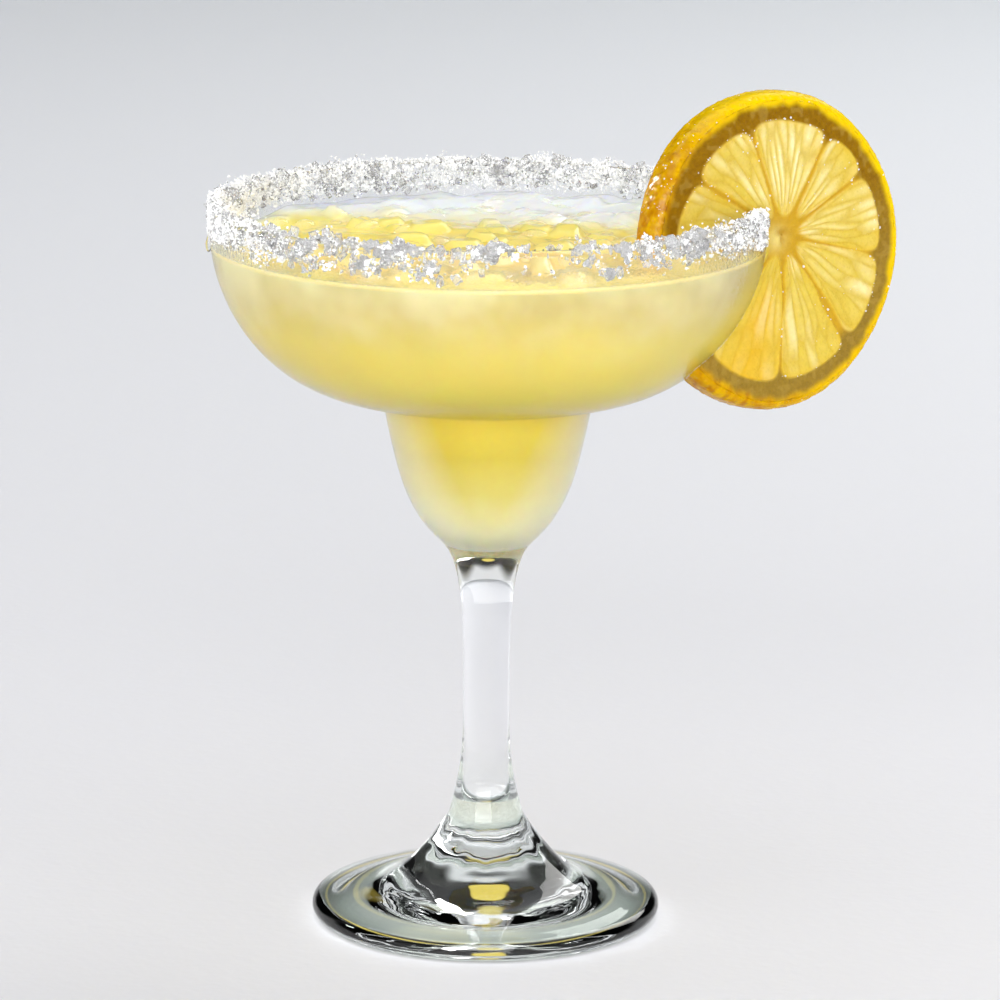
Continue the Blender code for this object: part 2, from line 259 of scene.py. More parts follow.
def shifted(points, distance):
    # Moves an open outline to its left-hand side.
    p = np.array(points)
    run = np.gradient(p, axis=0)
    run /= np.linalg.norm(run, axis=1, keepdims=True) + 1e-12
    return p + distance * np.column_stack((-run[:, 1], run[:, 0]))


def lathe(points):
    # Vertices and faces of a closed turned solid; the outline starts and ends on the axis.
    p = np.array(points)
    sides = SIDES
    turn = np.linspace(0.0, 2.0 * np.pi, sides, endpoint=False)
    rings = p[1:-1]
    verts = [np.array([[0.0, 0.0, p[0, 1]]])]
    for r, z in rings:
        verts.append(np.column_stack((r * np.cos(turn), r * np.sin(turn), np.full(sides, z))))
    verts.append(np.array([[0.0, 0.0, p[-1, 1]]]))
    verts = np.concatenate(verts)
    faces = []
    k = np.arange(sides)
    nxt = (k + 1) % sides
    faces += [(0, 1 + b, 1 + a) for a, b in zip(k, nxt)]
    for i in range(len(rings) - 1):
        low, high = 1 + i * sides, 1 + (i + 1) * sides
        faces += [(low + a, low + b, high + b, high + a) for a, b in zip(k, nxt)]
    last = 1 + (len(rings) - 1) * sides
    faces += [(last + a, last + b, len(verts) - 1) for a, b in zip(k, nxt)]
    return verts, faces


# Smooth value noise on numpy arrays, for relief
def value_noise(x, y, z=0.0, seed=0):
    x, y, z = np.broadcast_arrays(np.asarray(x, float), np.asarray(y, float), np.asarray(z, float))
    xi, yi, zi = np.floor(x), np.floor(y), np.floor(z)
    fx, fy, fz = x - xi, y - yi, z - zi
    fx, fy, fz = (f * f * (3.0 - 2.0 * f) for f in (fx, fy, fz))

    def corner(dx, dy, dz):
        h = np.sin((xi + dx) * 127.1 + (yi + dy) * 311.7 + (zi + dz) * 74.7 + seed * 53.3) * 43758.5453
        return h - np.floor(h)

    total = 0.0
    for dx, wx in ((0, 1 - fx), (1, fx)):
        for dy, wy in ((0, 1 - fy), (1, fy)):
            for dz, wz in ((0, 1 - fz), (1, fz)):
                total = total + corner(dx, dy, dz) * wx * wy * wz
    return total * 2.0 - 1.0


def smooth(value, low, high):
    t = np.clip((value - low) / (high - low), 0.0, 1.0)
    return t * t * (3.0 - 2.0 * t)


def tint(*colour):
    return np.array(linear(*colour))


def blend(a, b, share):
    return a + (b - a) * np.asarray(share)[..., None]


# Glass
def glass_material():
    t = Tree("glass_clear")
    t.set(Roughness=0.0, IOR=1.5, Transmission_Weight=1.0)
    place = t.place()
    axes = t.axes()
    # The thick glass of the foot has a faint grey-green tint.
    clearing = t.span(axes["Z"], 0.012, 0.034)
    t.feed(t.ramp(clearing, [(0.0, (0.90, 0.935, 0.925)), (1.0, (0.97, 0.975, 0.98))]), "Base Color")
    bowl = t.math("MULTIPLY", t.span(axes["Z"], 0.0755, 0.080), t.span(axes["Z"], 0.1395, 0.1365))
    mist = t.noise(place, 260.0, 4.0, 0.6)
    patch = t.noise(place, 45.0, 2.0)
    t.feed(t.span(t.math("MULTIPLY", bowl, patch), 0.0, 1.0, 0.0, 0.34), "Roughness")
    drops = t.cells(place, 1400.0)
    grain = t.math("MULTIPLY", t.math("ADD", t.span(drops, 0.0, 0.6, 1.0, 0.0), mist), bowl)
    t.bump(grain, 0.10, 0.0006)
    return t.mat


def uneven_cone(verts):
    # Pressed glass: faint waves round the cone above the foot and in the dish under it.
    r, z = np.hypot(verts[:, 0], verts[:, 1]), verts[:, 2]
    turn = np.arctan2(verts[:, 1], verts[:, 0])
    cone = smooth(z, 5.6, 8.0) * (1.0 - smooth(z, 17.0, 21.0))
    dish = (1.0 - smooth(r, 20.0, 24.0)) * (z < 5.0)
    x, y = np.cos(turn), np.sin(turn)
    wave = value_noise(x * 2.6 + 9.0, y * 2.6, z / 3.0, seed=41)
    wave = wave + 0.5 * value_noise(x * 6.0, y * 6.0 + 5.0, z / 2.0, seed=42)
    scale = 1.0 + 0.20 * cone * wave / np.maximum(r, 1.0)
    lift = 0.10 * dish * value_noise(verts[:, 0] / 5.0 + 3.0, verts[:, 1] / 5.0, seed=43)
    return np.column_stack((verts[:, 0] * scale, verts[:, 1] * scale, z + lift))


def make_glass():
    verts, faces = lathe(inner_outline() + outer_outline())
    faces = [face[::-1] for face in faces]
    verts = uneven_cone(verts)
    ob = make_piece("glass_shell", verts, faces, glass_material())
    # The lamps shine straight through, so what lies behind the glass stays bright.
    ob.visible_shadow = False
    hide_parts("glass")


# Drink
def drink_material():
    t = Tree("drink_cloudy")
    place = t.place()
    axes = t.axes()
    soft = t.noise(place, 60.0, 3.0)
    z = t.math("ADD", axes["Z"], t.span(soft, 0.0, 1.0, -0.003, 0.003))
    # The drink's colour by height is painted light and shade: palest at the bottom of the bulb, darker up the
    # bulb, brightest low in the bowl and greyer near the top.
    share = t.span(z, 0.077, 0.137)
    body = t.ramp(share, [
        (0.00, linear(255, 250, 214)), (0.12, linear(235, 225, 158)), (0.20, linear(222, 208, 108)),
        (0.32, linear(217, 196, 62)), (0.44, linear(246, 220, 60)), (0.60, linear(255, 231, 92)),
        (0.76, linear(236, 218, 100)), (1.00, linear(182, 170, 132))])
    # The bulb is painted paler at its sides, as the light that shows through where there is less drink to see
    # through.
    away = t.math("ADD", t.math("ABSOLUTE", axes["X"], 0.0), t.span(axes["Z"], 0.103, 0.078, 0.0, 0.010))
    side = t.math("MULTIPLY", t.span(away, 0.010, 0.021), t.span(axes["Z"], 0.108, 0.103))
    body = t.mix(t.math("MULTIPLY", side, 0.65), body, linear(252, 247, 222))
    # Foam and ice behind the wall show as paler clouds near the top.
    cloud = t.span(t.noise(place, 42.0, 3.0, 0.6), 0.42, 0.66)
    cloud = t.math("MULTIPLY", cloud, t.span(axes["Z"], 0.118, 0.132))
    body = t.mix(t.math("MULTIPLY", cloud, 0.55), body, linear(248, 240, 196))
    # The surface: strong yellow in front, paler and whiter towards the back and the left.
    uneven = t.span(t.noise(place, 55.0, 3.0), 0.0, 1.0, -0.30, 0.30)
    back = t.math("ADD", t.span(axes["Y"], -0.030, 0.046), uneven)
    top = t.ramp(back, [
        (0.0, linear(248, 222, 140)), (0.38, linear(253, 225, 124)), (0.58, linear(254, 230, 130)),
        (0.74, linear(243, 243, 228)), (0.9, linear(240, 244, 246))])
    t.feed(t.mix(t.span(axes["Z"], 0.1345, 0.1352), body, top), "Base Color")
    t.set(Roughness=0.10, IOR=1.34, Subsurface_Weight=0.85, Subsurface_Scale=0.018)
    t.shader.inputs["Subsurface Radius"].default_value = (1.0, 0.8, 0.3)
    t.bump(t.noise(place, 220.0, 3.0), 0.15, 0.0008)
    return t.mat


def slush_height(x, y):
    # Wet lumps of crushed ice under the surface.
    rng = np.random.default_rng(4)
    r = np.hypot(x, y)
    base = 0.5 * value_noise(x / 8.0, y / 8.0, seed=2) + 0.2 * value_noise(x / 3.4, y / 3.4, seed=3)
    lumps = np.zeros_like(x)
    for i in range(170):
        a, q = rng.uniform(0.0, 2.0 * np.pi), 48.0 * math.sqrt(rng.uniform())
        cx, cy = q * math.cos(a), q * math.sin(a)
        size = rng.uniform(2.2, 5.2)
        high = rng.uniform(0.3, 1.7) * (1.0 if q < 43.0 else 0.4)
        stretch, spin = rng.uniform(0.5, 1.0), rng.uniform(0.0, np.pi)
        tilt = rng.uniform(0.0, 0.35)
        dx, dy = x - cx, y - cy
        u = dx * math.cos(spin) + dy * math.sin(spin)
        v = (-dx * math.sin(spin) + dy * math.cos(spin)) / stretch
        d = (np.abs(u) ** 3 + np.abs(v) ** 3) ** (1.0 / 3.0) / size
        top = high * np.clip(1.25 * (1.0 - d ** 3), 0.0, 1.0) * (1.0 + tilt * u / size)
        lumps = np.maximum(lumps, top)
    edge = np.clip((50.5 - r) / 4.0, 0.0, 1.0)
    # Foam and melting ice have piled up against the wall at the back.
    pile = smooth(r, 37.0, 46.0) * smooth(y + 0.35 * x, -8.0, 24.0)
    pile = pile * (1.5 + 0.8 * value_noise(x / 5.0, y / 5.0, seed=6))
    return (base + lumps) * edge + np.clip(pile, 0.0, 2.3) * np.clip((51.6 - r) / 0.8, 0.0, 1.0)


def make_drink():
    wall = shifted(inner_outline(4), -DRINK_OVERLAP)
    rim_r = np.interp(LEVEL_Z, wall[:, 1], wall[:, 0])
    wall[0] = (0.0, wall[0][1])
    outline = [tuple(p) for p in wall if p[1] < LEVEL_Z - 0.2] + [(rim_r, LEVEL_Z + 0.25)]
    outline += [(r, LEVEL_Z) for r in np.linspace(rim_r - 0.4, 0.0, 130)]
    verts, faces = lathe(outline)
    top = np.hypot(verts[:, 0], verts[:, 1]) < rim_r - 0.1
    top &= verts[:, 2] > LEVEL_Z - 0.01
    verts[top, 2] += slush_height(verts[top, 0], verts[top, 1])
    ob = make_piece("drink_body", verts, faces, drink_material())
    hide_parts("drink")


# Small lumps as joined meshes
CUBE = np.array([(x, y, z) for x in (-1, 1) for y in (-1, 1) for z in (-1, 1)], dtype=float)
CUBE_FACES = np.array([(0, 1, 3, 2), (4, 6, 7, 5), (0, 4, 5, 1), (2, 3, 7, 6), (0, 2, 6, 4), (1, 5, 7, 3)])


def random_turns(rng, count):
    q = rng.normal(size=(count, 4))
    q /= np.linalg.norm(q, axis=1, keepdims=True)
    w, x, y, z = q.T
    return np.stack([
        np.stack([1 - 2 * (y * y + z * z), 2 * (x * y - z * w), 2 * (x * z + y * w)], axis=1),
        np.stack([2 * (x * y + z * w), 1 - 2 * (x * x + z * z), 2 * (y * z - x * w)], axis=1),
        np.stack([2 * (x * z - y * w), 2 * (y * z + x * w), 1 - 2 * (x * x + y * y)], axis=1)], axis=1)


def boxes(rng, centres, sizes, jitter=0.25, long=1.5):
    # Uneven little blocks, one at each centre.
    count = len(centres)
    sides = rng.uniform(0.6, 1.0, size=(count, 1, 3))
    sides[:, :, 0] *= rng.uniform(0.8, long, size=(count, 1))
    shape = CUBE[None] * sides * (1.0 + rng.uniform(-jitter, jitter, size=(count, 8, 3)))
    shape = np.einsum("nij,nkj->nki", random_turns(rng, count), shape) * (sizes[:, None, None] * 0.5)
    verts = shape + centres[:, None, :]
    faces = CUBE_FACES[None] + 8 * np.arange(count)[:, None, None]
    return verts.reshape(-1, 3), faces.reshape(-1, 4)


# Salt
def rim_path(s):
    # From the outside of the glass over the lip to its inside: place and outward direction.
    half = WALL / 2
    out_len, over_len = 6.0, math.pi * half
    r, z = np.empty_like(s), np.empty_like(s)
    nr, nz = np.empty_like(s), np.empty_like(s)
    a = s < out_len
    r[a], z[a], nr[a], nz[a] = RIM_R, RIM_Z - half - out_len + s[a], 1.0, 0.0
    b = (s >= out_len) & (s < out_len + over_len)
    angle = (s[b] - out_len) / half
    r[b], z[b] = RIM_R - half + half * np.cos(angle), RIM_Z - half + half * np.sin(angle)
    nr[b], nz[b] = np.cos(angle), np.sin(angle)
    c = s >= out_len + over_len
    r[c], z[c], nr[c], nz[c] = RIM_R - WALL, RIM_Z - half - (s[c] - out_len - over_len), -1.0, 0.0
    return r, z, nr, nz


def clear_of_wheel(points, room):
    local = (np.asarray(points) * MM) @ np.array(WHEEL_POSE.inverted().to_3x3()).T
    local = local / MM + np.array(WHEEL_POSE.inverted().translation) / MM
    away = np.hypot(local[:, 0], local[:, 2]) > WHEEL_R + 1.5
    return away | (local[:, 1] < -room) | (local[:, 1] > WHEEL_T + room)


def salt_cover(turn, s, in_front, at_back):
    # Share of the rim that is covered: dense at the back and at both ends, patchy in front.
    front = smooth(-np.sin(turn), 0.25, 0.95)
    low_zone = smooth(np.abs(s - 7.6), 1.2, 3.6)
    patch = value_noise(turn * 13.0, s / 2.8, seed=8) + 0.6 * value_noise(turn * 30.0, s / 1.3, seed=9)
    ends = np.clip((s - 0.2) / 1.8, 0.0, 1.0) * np.clip((14.6 - s) / 2.5, 0.0, 1.0)
    drip = 0.9 * value_noise(turn * 8.0, 3.0, seed=10) + 0.5 * value_noise(turn * 23.0, 5.0, seed=12)
    low = np.clip((s - 1.3 - 1.5 * drip) / 0.9, 0.0, 1.0)
    cover = 1.0 - 0.72 * front * (0.4 + 0.6 * low_zone) + (0.35 + 0.95 * front) * patch
    return np.clip(cover, 0.0, 1.0) * ends * low * (at_back + (in_front - at_back) * front)


def salt_spots(rng, count, share, wanted):
    """Places on the rim, as many as fit the cover there, with their outward directions."""
    turn = rng.uniform(0.0, 2.0 * np.pi, count)
    s = wanted(rng, count)
    keep = rng.uniform(size=count) < salt_cover(turn, s, *share)
    turn, s = turn[keep], s[keep]
    r, z, nr, nz = rim_path(s)
    spot = np.column_stack((r * np.cos(turn), r * np.sin(turn), z))
    out = np.column_stack((nr * np.cos(turn), nr * np.sin(turn), nz))
    return turn, s, spot, out


def scatter_salt(rng, count, share, low, high):
    turn, s, spot, out = salt_spots(rng, count, share, lambda r, n: r.uniform(0.0, 14.8, n))
    lump = 0.5 + 0.5 * value_noise(turn * 20.0, s / 2.4, seed=15)
    lump = np.clip(lump + 0.35 * value_noise(turn * 6.0, 1.0, seed=16), 0.0, 1.1)
    lift = rng.uniform(low, high, len(s)) * (0.2 + 1.4 * lump ** 2)
    lift *= 0.75 + 0.75 * np.clip(out[:, 2], 0.0, 1.0)
    return spot + out * lift[:, None]


def salt_clumps(rng, count, share, grains, radius):
    turn, s, spot, out = salt_spots(
        rng, count, share, lambda r, n: np.clip(r.normal(7.8, 2.4, n), 1.6, 13.5))
    size = rng.uniform(0.35, 1.0, len(turn)) ** 1.5 * radius
    points = rng.normal(size=(len(turn), grains, 3))
    points /= np.linalg.norm(points, axis=2, keepdims=True)
    points *= rng.uniform(0.3, 1.0, size=(len(turn), grains, 1)) * size[:, None, None]
    along = np.einsum("nkj,nj->nk", points, out)
    points += (np.abs(along) - along)[:, :, None] * out[:, None, :]
    return (points + spot[:, None, :]).reshape(-1, 3)


def salt_material(name, through, bright):
    t = Tree(name)
    place = t.place()
    grey = t.math("ADD", t.math("MULTIPLY", t.noise(place, 700.0, 1.0), 0.35), t.noise(place, 210.0, 2.0))
    dim = (bright - 0.22, bright - 0.23, bright - 0.22)
    t.feed(t.ramp(grey, [(0.42, dim), (0.62, (bright, bright, bright))]), "Base Color")
    t.set(Roughness=0.14, IOR=1.5, Transmission_Weight=through)
    t.bump(t.noise(place, 2500.0, 2.0), 0.3, 0.0002)
    return t.mat


def inside_reach(points, size):
    reach = np.hypot(points[:, 0], points[:, 1]) + 0.5 * size
    return (reach < SALT_REACH) & (points[:, 2] + 0.5 * size < SALT_TOP)


def octahedra(rng, centres, sizes):
    # Small uneven grains with eight faces.
    count = len(centres)
    axes = np.array([(1, 0, 0), (-1, 0, 0), (0, 1, 0), (0, -1, 0), (0, 0, 1), (0, 0, -1)], dtype=float)
    shape = axes[None] * rng.uniform(0.6, 1.15, size=(count, 6, 1))
    shape = np.einsum("nij,nkj->nki", random_turns(rng, count), shape) * (sizes[:, None, None] * 0.6)
    faces = np.array([(0, 2, 4), (2, 1, 4), (1, 3, 4), (3, 0, 4), (2, 0, 5), (1, 2, 5), (3, 1, 5), (0, 3, 5)])
    faces = faces[None] + 6 * np.arange(count)[:, None, None]
    return (shape + centres[:, None, :]).reshape(-1, 3), faces.reshape(-1, 3)


def make_salt():
    rng = np.random.default_rng(21)
    white = salt_material("salt_white_grains", 0.0, 1.0)
    clear = salt_material("salt_clear_grains", 0.84, 0.88)
    # Name, shape, number, shares in front and at the back, size, spread of sizes, lowest and highest lift,
    # number of clumps and grains in each, material
    kinds = (("salt_coarse", boxes, 1900, (1.0, 0.25), 1.30, 0.34, (0.1, 0.9), (140, 8), clear),
             ("salt_medium", boxes, 6500, (0.9, 0.28), 0.60, 0.15, (0.05, 1.0), (240, 22), clear),
             ("salt_fine", octahedra, 13000, (0.19, 1.0), 0.58, 0.17, (0.0, 1.35), (340, 34), white),
             ("salt_dust", octahedra, 20000, (0.13, 0.9), 0.32, 0.08, (0.0, 1.6), (240, 30), white))
    for name, shape, count, share, size, spread, lift, clump, mat in kinds:
        points = scatter_salt(rng, count, share, *lift)
        points = np.concatenate((points, salt_clumps(rng, clump[0], share, clump[1], 2.3)))
        sizes = np.clip(rng.normal(size, spread, len(points)), size * 0.45, size * 1.9)
        keep = clear_of_wheel(points, 0.5) & inside_reach(points, sizes)
        points, sizes = points[keep], sizes[keep]
        verts, faces = shape(rng, points, sizes)
        ob = make_piece(name, verts, faces, mat, smooth=False)
        ob.visible_shadow = mat is white
        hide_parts("salt_rim")
    make_dark_refraction_specks(rng)


def make_dark_refraction_specks(rng):
    # Tiny dark specks painted for the dark refractions in clear salt: a broken line along the front of the
    # lip, and some loose in the crust.
    t = Tree("salt_painted_dark_refractions")
    place = t.place()
    tone = t.ramp(t.noise(place, 900.0, 1.0), [(0.3, (0.03, 0.028, 0.025)), (0.7, (0.16, 0.15, 0.14))])
    t.feed(tone, "Base Color")
    t.set(Roughness=0.3)
    turn = np.radians(np.arange(-128.0, -58.0, 0.42))
    turn = turn[(value_noise(turn * 9.0, 2.0, seed=81) > 0.05) & (rng.uniform(size=len(turn)) < 0.62)]
    line = np.column_stack(((RIM_R - WALL / 2) * np.cos(turn), (RIM_R - WALL / 2) * np.sin(turn),
                            np.full(len(turn), RIM_Z + 0.12)))
    loose = scatter_salt(rng, 420, (1.0, 0.5), 0.8, 1.4)
    points = np.concatenate((line, loose))
    sizes = np.concatenate((rng.uniform(0.25, 0.50, len(line)), rng.uniform(0.15, 0.34, len(loose))))
    keep = clear_of_wheel(points, 0.5) & inside_reach(points, sizes)
    verts, faces = octahedra(rng, points[keep], sizes[keep])
    ob = make_piece("salt_dark_refraction_specks", verts, faces, t.mat, smooth=False)
    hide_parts("salt_rim")


# Crushed ice showing above the drink
def ice_material():
    t = Tree("ice_wet")
    place = t.place()
    t.set(Base_Color=(1.0, 0.98, 0.88, 1.0), IOR=1.31, Transmission_Weight=0.85)
    t.feed(t.span(t.noise(place, 300.0, 2.0), 0.3, 0.7, 0.02, 0.16), "Roughness")
    t.bump(t.noise(place, 260.0, 3.0), 0.25, 0.0008)
    return t.mat


def make_ice():
    rng = np.random.default_rng(33)
    count = 105
    turn = rng.uniform(0.0, 2.0 * np.pi, count)
    r = 47.0 * np.sqrt(rng.uniform(size=count))
    x, y = r * np.cos(turn), r * np.sin(turn)
    sizes = rng.uniform(4.0, 9.5, count)
    z = LEVEL_Z + np.clip(slush_height(x, y), 0.0, 1.2) - 0.16 * sizes + rng.uniform(0.0, 0.5, count)
    centres = np.column_stack((x, y, z))
    keep = clear_of_wheel(centres, 2.6) & (r + 0.4 * sizes < 50.5)
    centres, sizes = centres[keep], sizes[keep]
    verts, faces = boxes(rng, centres, sizes, 0.35, 1.5)
    # Melting has rounded the lumps and they float low.
    middle = np.repeat(centres[:, 2], 8)
    verts[:, 2] = np.minimum(middle + 0.55 * (verts[:, 2] - middle), ICE_TOP)
    ob = make_piece("ice_lumps", verts, faces, ice_material())
    ob.visible_shadow = False
    round_off = ob.modifiers.new("round_off", "SUBSURF")
    round_off.levels = round_off.render_levels = 3
    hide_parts("crushed_ice")


# Water: beads of juice on the wheel, whitish for painted glints, and a drop on the bowl
def water_material(name, through):
    t = Tree(name)
    place = t.place()
    t.set(Base_Color=(1.0, 1.0, 1.0, 1.0), IOR=1.33, Transmission_Weight=through)
    t.feed(t.span(t.noise(place, 400.0, 1.0), 0.3, 0.7, 0.0, 0.06), "Roughness")
    return t.mat


def ball(subdivisions):
    bm = bmesh.new()
    bmesh.ops.create_icosphere(bm, subdivisions=subdivisions, radius=1.0)
    verts = np.array([v.co[:] for v in bm.verts])
    faces = np.array([[v.index for v in f.verts] for f in bm.faces])
    bm.free()
    return verts, faces


def make_beads(rng, centres, sizes):
    shape, faces = ball(2)
    count = len(centres)
    stretch = rng.uniform(0.55, 1.0, size=(count, 1, 3))
    verts = np.einsum("nij,nkj->nki", random_turns(rng, count), shape[None] * stretch)
    verts = (verts * sizes[:, None, None] * 0.5 + centres[:, None, :]).reshape(-1, 3)
    faces = (faces[None] + len(shape) * np.arange(count)[:, None, None]).reshape(-1, 3)
    # Each bead is only partly clear; its white rest paints glints of light on the wet flesh and peel.
    ob = make_piece("juice_beads", verts, faces, water_material("juice_white_glints", 0.35))
    ob.visible_shadow = False
    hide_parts("lemon_wheel")


def make_drop():
    # One drop hangs on the outside of the bowl at its left end.
    verts, faces = ball(3)
    thin = 1.0 - 0.45 * smooth(verts[:, 2], -0.3, 1.0)
    verts = verts * np.column_stack((0.62 * thin, 0.62 * thin, np.full(len(verts), 1.8)))
    turn = math.radians(184.5)
    spot = np.array([(RIM_R + 0.15) * math.cos(turn), (RIM_R + 0.15) * math.sin(turn), 135.6])
    ob = make_piece("water_drop", verts + spot, faces, water_material("water_clear", 1.0))
    ob.visible_shadow = False
    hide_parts("glass")


# Lemon wheel
def wheel_radius(angle):
    return WHEEL_R + 0.18 * np.sin(3.0 * angle + 0.6) + 0.12 * np.sin(5.0 * angle + 2.0)


def reach_from_core(angle, radius):
    b = CORE[0] * np.cos(angle) + CORE[1] * np.sin(angle)
    return -b + np.sqrt(b * b - (CORE[0] ** 2 + CORE[1] ** 2 - radius * radius))


def segment_fields(angle, dist, seed):
    """Depth into the flesh from a segment's border, and the long sacs' tone and nearness to their edges."""
    edges = np.radians(np.array(MEMBRANES + (MEMBRANES[0] + 360.0,)))
    a = np.mod(angle - edges[0], 2.0 * np.pi) + edges[0]
    which = np.clip(np.searchsorted(edges, a, side="right") - 1, 0, len(edges) - 2)
    low, high = edges[which], edges[which + 1]
    wobble = 0.035 * value_noise(dist / 6.0, which * 3.1, seed=seed)
    left = dist * np.sin(np.clip(a - low - wobble, 0.0, np.pi / 2))
    right = dist * np.sin(np.clip(high + wobble - a, 0.0, np.pi / 2))
    rim = FLESH_R + 0.45 * value_noise(angle * 3.0, which * 1.7, seed=seed + 1)
    far = reach_from_core(angle, rim) - dist
    near = (dist - 1.6 - 0.5 * value_noise(which * 2.3, 0.0, seed=seed + 2)) * 0.8
    soft = 1.25
    total = sum(np.exp(-np.clip(d, -10.0, 14.0) / soft) for d in (left - 0.1, right - 0.1, far, near))
    depth = -soft * np.log(total)
    # The long juice sacs fan out from the core, and split on the way.
    bend = 0.35 * value_noise(a * 4.0, dist / 8.0, seed=seed + 3)
    edge, tone = sac_cells(a * 8.2 + bend + 17.0 * which, far / 12.0 + 0.5, seed + 4)
    return depth, tone, edge


def sac_cells(u, v, seed):
    """How near the edge of a sac is, and the sac's own tone, for a scatter of one sac in each unit square."""
    ui, vi = np.floor(u), np.floor(v)
    first, second, tone = np.full(u.shape, 9.0), np.full(u.shape, 9.0), np.zeros(u.shape)
    for du in (-1, 0, 1):
        for dv in (-1, 0, 1):
            p = np.sin((ui + du) * 127.1 + (vi + dv) * 311.7 + seed * 53.3) * 43758.5453
            q = np.sin((ui + du) * 269.5 + (vi + dv) * 183.3 + seed * 17.7) * 43758.5453
            p, q = p - np.floor(p), q - np.floor(q)
            away = np.hypot(ui + du + 0.15 + 0.7 * p - u, vi + dv + 0.1 + 0.8 * q - v)
            closer = away < first
            second = np.where(closer, first, np.minimum(second, away))
            tone = np.where(closer, np.mod(7.0 * p + 3.0 * q, 1.0), tone)
            first = np.minimum(first, away)
    return second - first, tone


def wheel_face(angles, rings, radius, seed):
    """Relief and colour over one cut face out to a radius, for every ring and direction."""
    A, F = np.meshgrid(angles, rings)
    edge = reach_from_core(A, radius)
    dist = F * edge
    depth, tone, edge = segment_fields(A, dist, seed)
    x, y = CORE[0] + dist * np.cos(A), CORE[1] + dist * np.sin(A)
    turn = np.arctan2(y, x)
    away = np.hypot(x, y)
    flesh = smooth(depth, -0.15, 0.5)
    vein = (1.0 - smooth(edge, 0.0, 0.30)) * smooth(depth, 0.2, 1.0) * smooth(dist, 2.5, 8.0)
    plump = smooth(edge, 0.10, 0.80)
    bead = np.exp(-((depth - 0.45) / 0.5) ** 2) * (0.6 + 0.7 * value_noise(x * 1.5, y * 1.5, seed=seed + 9))
    relief = 0.16 - 0.20 * flesh * (0.4 + 0.6 * plump) + 0.10 * vein - 0.16 * bead
    relief = relief + 0.05 * value_noise(x * 1.6, y * 1.6, seed=seed + 10) * (1.0 - flesh)

    drift = value_noise(x * 0.16, y * 0.16, seed=seed + 6)
    # The flesh is painted paler towards the top, as the light shining through it from behind; each sac's own
    # tone and a slow drift vary it at random.
    pale = 0.10 + 0.75 * tone + 0.25 * np.cos(turn - 1.3) + 0.30 * drift
    pale = smooth(pale, 0.15, 1.0) * (0.25 + 0.75 * plump)
    body = blend(tint(226, 201, 86), tint(251, 244, 190), pale)
    body = blend(body, tint(204, 170, 48), 0.38 * vein)
    body = blend(body, tint(222, 180, 20), 0.75 * np.exp(-np.clip(depth, 0.0, 9.0) / 0.7))
    strong = np.exp(-(np.angle(np.exp(1j * (turn + 1.95))) / 0.3) ** 2) * smooth(away, 2.0, 14.0)
    body = blend(body, tint(234, 184, 14), 0.6 * strong)
    grain = np.clip(0.5 + 0.45 * value_noise(x * 2.0, y * 2.0, seed=seed + 7)
                    + 0.35 * value_noise(x * 4.4, y * 4.4, seed=seed + 8), 0.0, 1.0)
    # The pith is painted brown-khaki, partly its own colour and partly the shade it lies in with the light
    # behind it: browner at the top, greyer and lighter below.
    low_side = smooth(-np.sin(turn - 0.35), -0.35, 0.75)
    pith = blend(tint(154, 114, 2), tint(162, 132, 48), low_side)
    pith = blend(pith, blend(tint(138, 98, 2), tint(146, 118, 42), low_side), grain)
    fleck = smooth(value_noise(x * 0.9, y * 0.9, seed=seed + 12), 0.25, 0.6)
    pith = blend(pith, tint(178, 148, 66), 0.4 * fleck)
    skin = blend(tint(206, 164, 40), pith, smooth(away, FLESH_R - 3.5, FLESH_R - 0.6))
    colour = blend(skin, body, flesh)
    # The peel's own colour bleeds a little way into the pith.
    seam = radius - away - 0.45 * value_noise(turn * 16.0, 2.0, seed=seed + 11)
    colour = blend(peel_colour(turn, seam), colour, smooth(seam, -0.1, 1.6))
    # A pale patch beside the core, and a small hollow that runs out to one side, painted darker as the shade
    # in it
    u, v = x - CORE[0], y - CORE[1]
    colour = blend(colour, tint(248, 232, 150), 0.75 * np.exp(-(np.hypot(u + 1.7, v + 0.6) / 2.3) ** 2))
    hole = np.exp(-(np.hypot(u / 1.5, (v - 0.5) / 0.75)) ** 2)
    hole = np.maximum(hole, 0.8 * np.exp(-(np.hypot((u + 0.1) / 0.6, (v + 0.9) / 1.3)) ** 2))
    colour = blend(colour, tint(196, 154, 44), 0.9 * hole)
    return dist, relief + 0.5 * hole, colour, flesh, depth


def peel_colour(turn, depth):
    # Bright yellow at the top and right, where light shines through, and orange at the left and below.
    near = smooth(-np.cos(turn - 0.35), -0.25, 0.75)
    mottle = np.clip(0.5 + 0.45 * value_noise(turn * 26.0, depth * 0.9, seed=64)
                     + 0.35 * value_noise(turn * 60.0, depth * 2.0, seed=65), 0.0, 1.0)
    lit = blend(tint(247, 211, 0), tint(236, 192, 0), smooth(-np.sin(turn), -0.2, 0.9))
    warm = blend(tint(224, 178, 0), tint(188, 124, 0), mottle)
    return blend(lit, warm, near)


